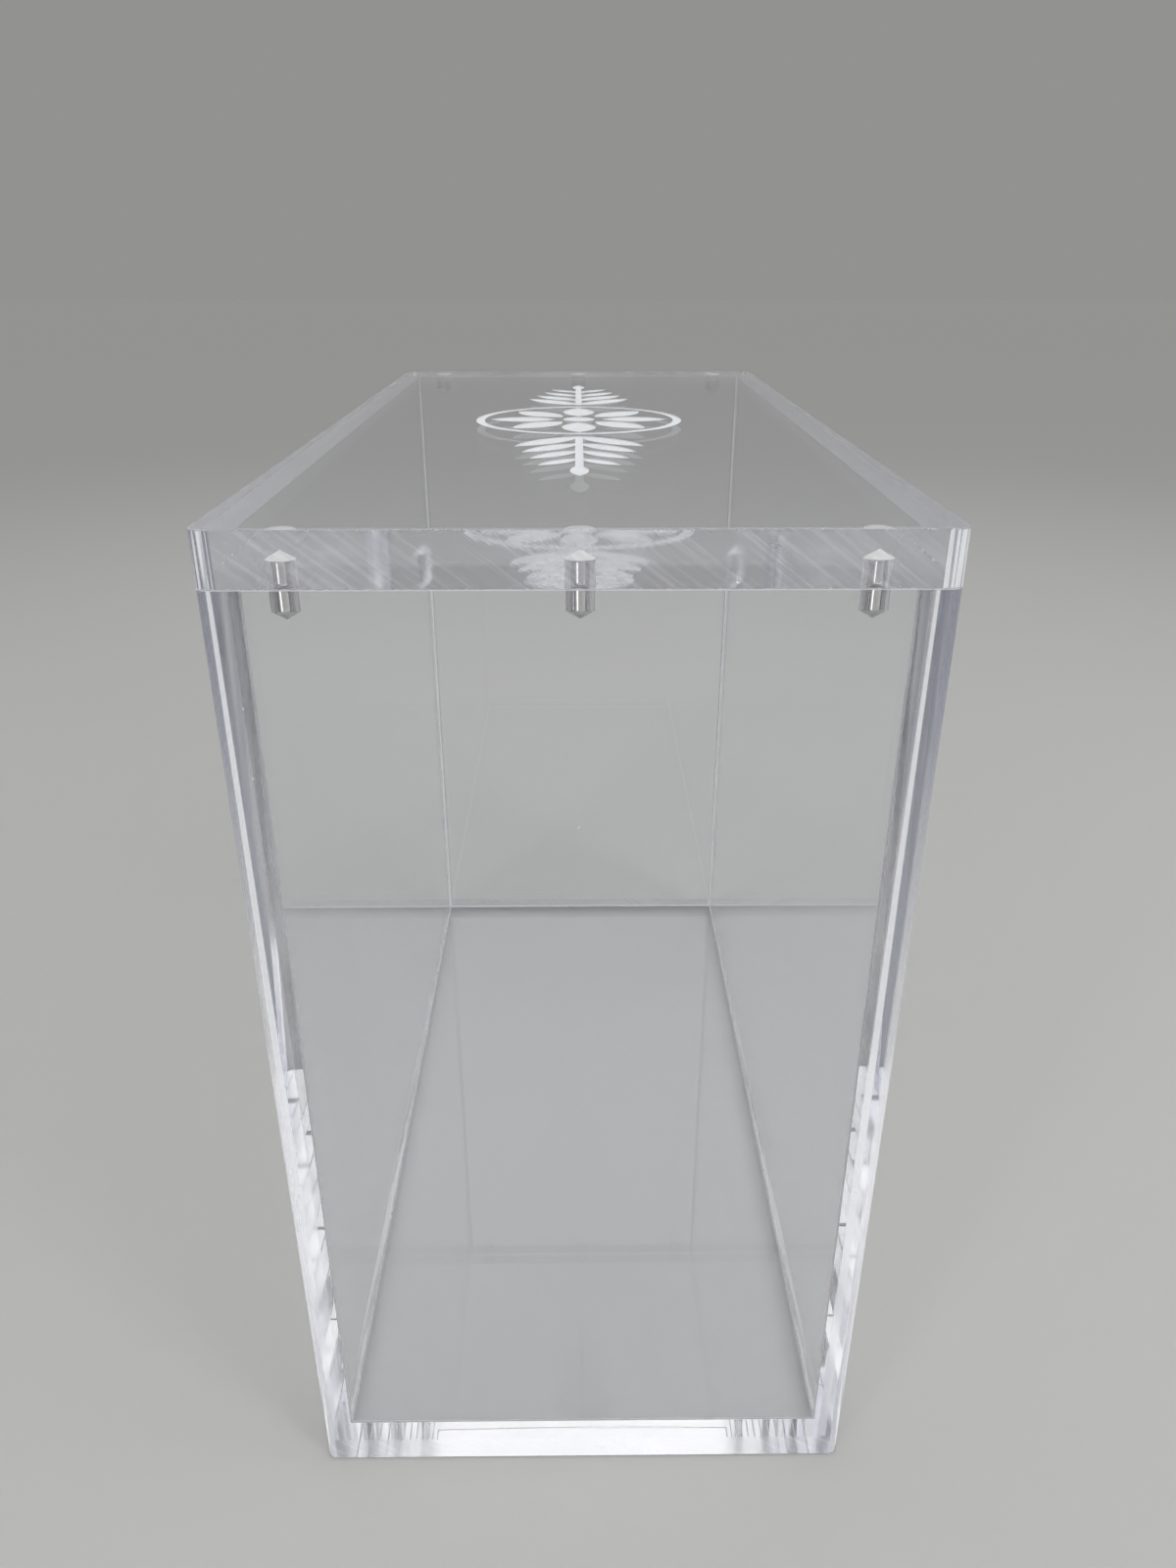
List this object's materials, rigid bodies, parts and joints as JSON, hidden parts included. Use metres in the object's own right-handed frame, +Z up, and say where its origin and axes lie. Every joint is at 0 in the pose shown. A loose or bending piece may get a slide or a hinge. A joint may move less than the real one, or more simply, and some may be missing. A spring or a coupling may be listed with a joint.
{
  "type": "display case",
  "caption": "Clear acrylic display case: base and four thick walls cemented into a tall open box, closed by a lift-off lid plate held by magnets set in blind holes.",
  "frame": {"origin": "middle of the case's underside, on the surface that it stands on", "axes": "+Z up, +Y from the short front wall to the back wall, +X to the right seen from the front"},
  "size_m": [0.103, 0.212, 0.187],
  "materials": {
    "clear_acrylic": "polished",
    "nickel_plating": "polished",
    "cured_adhesive": "satin"
  },
  "bodies": {
    "case": {"base_panel": "clear_acrylic", "left_wall": "clear_acrylic", "right_wall": "clear_acrylic", "front_wall": "clear_acrylic", "back_wall": "clear_acrylic", "wall_magnet_front_left": "nickel_plating", "wall_magnet_front_middle": "nickel_plating", "wall_magnet_front_right": "nickel_plating", "wall_magnet_back_left": "nickel_plating", "wall_magnet_back_middle": "nickel_plating", "wall_magnet_back_right": "nickel_plating", "wall_adhesive_front_left": "cured_adhesive", "wall_adhesive_front_middle": "cured_adhesive", "wall_adhesive_front_right": "cured_adhesive", "wall_adhesive_back_left": "cured_adhesive", "wall_adhesive_back_middle": "cured_adhesive", "wall_adhesive_back_right": "cured_adhesive"},
    "lid": {"lid_panel": "clear_acrylic", "lid_magnet_front_left": "nickel_plating", "lid_magnet_front_middle": "nickel_plating", "lid_magnet_front_right": "nickel_plating", "lid_magnet_back_left": "nickel_plating", "lid_magnet_back_middle": "nickel_plating", "lid_magnet_back_right": "nickel_plating", "lid_adhesive_front_left": "cured_adhesive", "lid_adhesive_front_middle": "cured_adhesive", "lid_adhesive_front_right": "cured_adhesive", "lid_adhesive_back_left": "cured_adhesive", "lid_adhesive_back_middle": "cured_adhesive", "lid_adhesive_back_right": "cured_adhesive"}
  },
  "joints": [
    {"name": "lid_lift", "type": "slide", "parent": "case", "child": "lid", "axis": [0, 0, 1], "range_m": [0, 0.2]}
  ]
}
